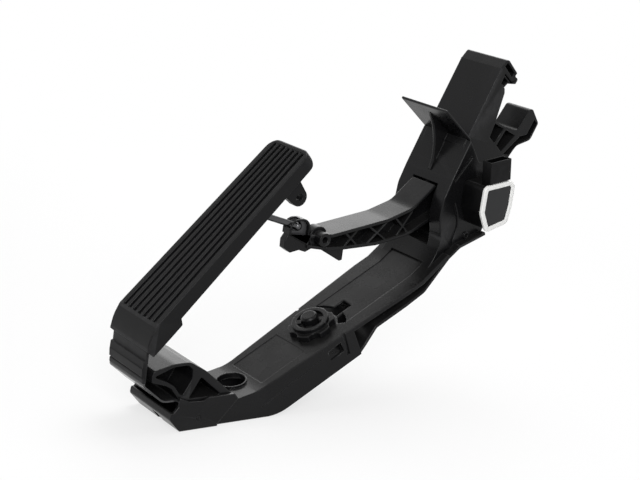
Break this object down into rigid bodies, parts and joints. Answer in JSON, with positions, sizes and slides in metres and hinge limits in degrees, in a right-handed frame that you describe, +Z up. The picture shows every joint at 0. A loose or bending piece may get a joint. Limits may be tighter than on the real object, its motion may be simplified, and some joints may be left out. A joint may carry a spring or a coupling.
{
  "type": "accelerator pedal",
  "caption": "Floor hinged accelerator pedal with a ribbed tread, push rod, braced lever, position sensor with plug socket and a long moulded bracket with a column.",
  "frame": {"origin": "on the heel's base plane, in the middle of the heel flat, on the tread's plane of symmetry", "axes": "+X to the driver's right, +Y forward along the beam, +Z up"},
  "size_m": [0.0925, 0.3715, 0.2912],
  "materials": {
    "black_plastic": "black moulded, fine grain",
    "tread_plastic": "black, grained ribs",
    "hinge_plastic": "dark, satin, polished by bending",
    "socket_plastic": "dark grey, smooth",
    "sensor_plastic": "black, satin",
    "cover_plastic": "black, glossy",
    "pale_gasket": "off white, matt",
    "board_laminate": "green lacquered",
    "brass": "plain",
    "steel": "drawn bright",
    "spring_steel": "dull",
    "magnet": "dark grey coat"
  },
  "bodies": {
    "base": {"pedal_bracket": "black_plastic", "heel_block": "black_plastic", "film_hinge": "hinge_plastic", "left_bush": "socket_plastic", "right_bush": "socket_plastic", "outer_spring": "spring_steel", "inner_spring": "spring_steel", "spring_cap": "black_plastic", "sensor_housing": "sensor_plastic", "sensor_cover": "cover_plastic", "sensor_gasket": "pale_gasket", "circuit_board": "board_laminate", "connector_pins": "brass", "sensor_screws": "steel", "fastener_body": "black_plastic"},
    "tread": {"tread": "tread_plastic"},
    "lever": {"lever_arm": "black_plastic", "ball_socket": "socket_plastic", "pivot_shaft": "steel", "shaft_clip": "spring_steel", "rotor_magnet": "magnet", "spring_seat": "black_plastic"},
    "rod": {"push_rod": "steel"},
    "pin": {"fastener_pin": "black_plastic"}
  },
  "joints": [
    {"name": "tread_hinge", "type": "hinge", "parent": "base", "child": "tread", "pos_m": [0, -0.046, 0.036], "axis": [-1, 0, 0], "range_deg": [0, 12], "stiffness_Nm_per_rad": 14, "springref_deg": -12.26, "deforming": ["film_hinge"]},
    {"name": "lever_pivot", "type": "hinge", "parent": "base", "child": "lever", "pos_m": [0, 0.254, 0.18], "axis": [1, 0, 0], "range_deg": [0, 16], "deforming": ["outer_spring", "inner_spring"]},
    {"name": "rod_pivot", "type": "hinge", "parent": "lever", "child": "rod", "pos_m": [0, 0.093, 0.1486], "axis": [1, 0, 0], "range_deg": [-43.5, 0]},
    {"name": "pin_slide", "type": "slide", "parent": "base", "child": "pin", "axis": [0, 0.4939, -0.8695], "range_m": [0, 0.005]}
  ],
  "couplings": [
    {"joint": "lever_pivot", "follows": "tread_hinge", "ratio": 1.3036},
    {"joint": "rod_pivot", "follows": "tread_hinge", "ratio": -3.5862}
  ]
}
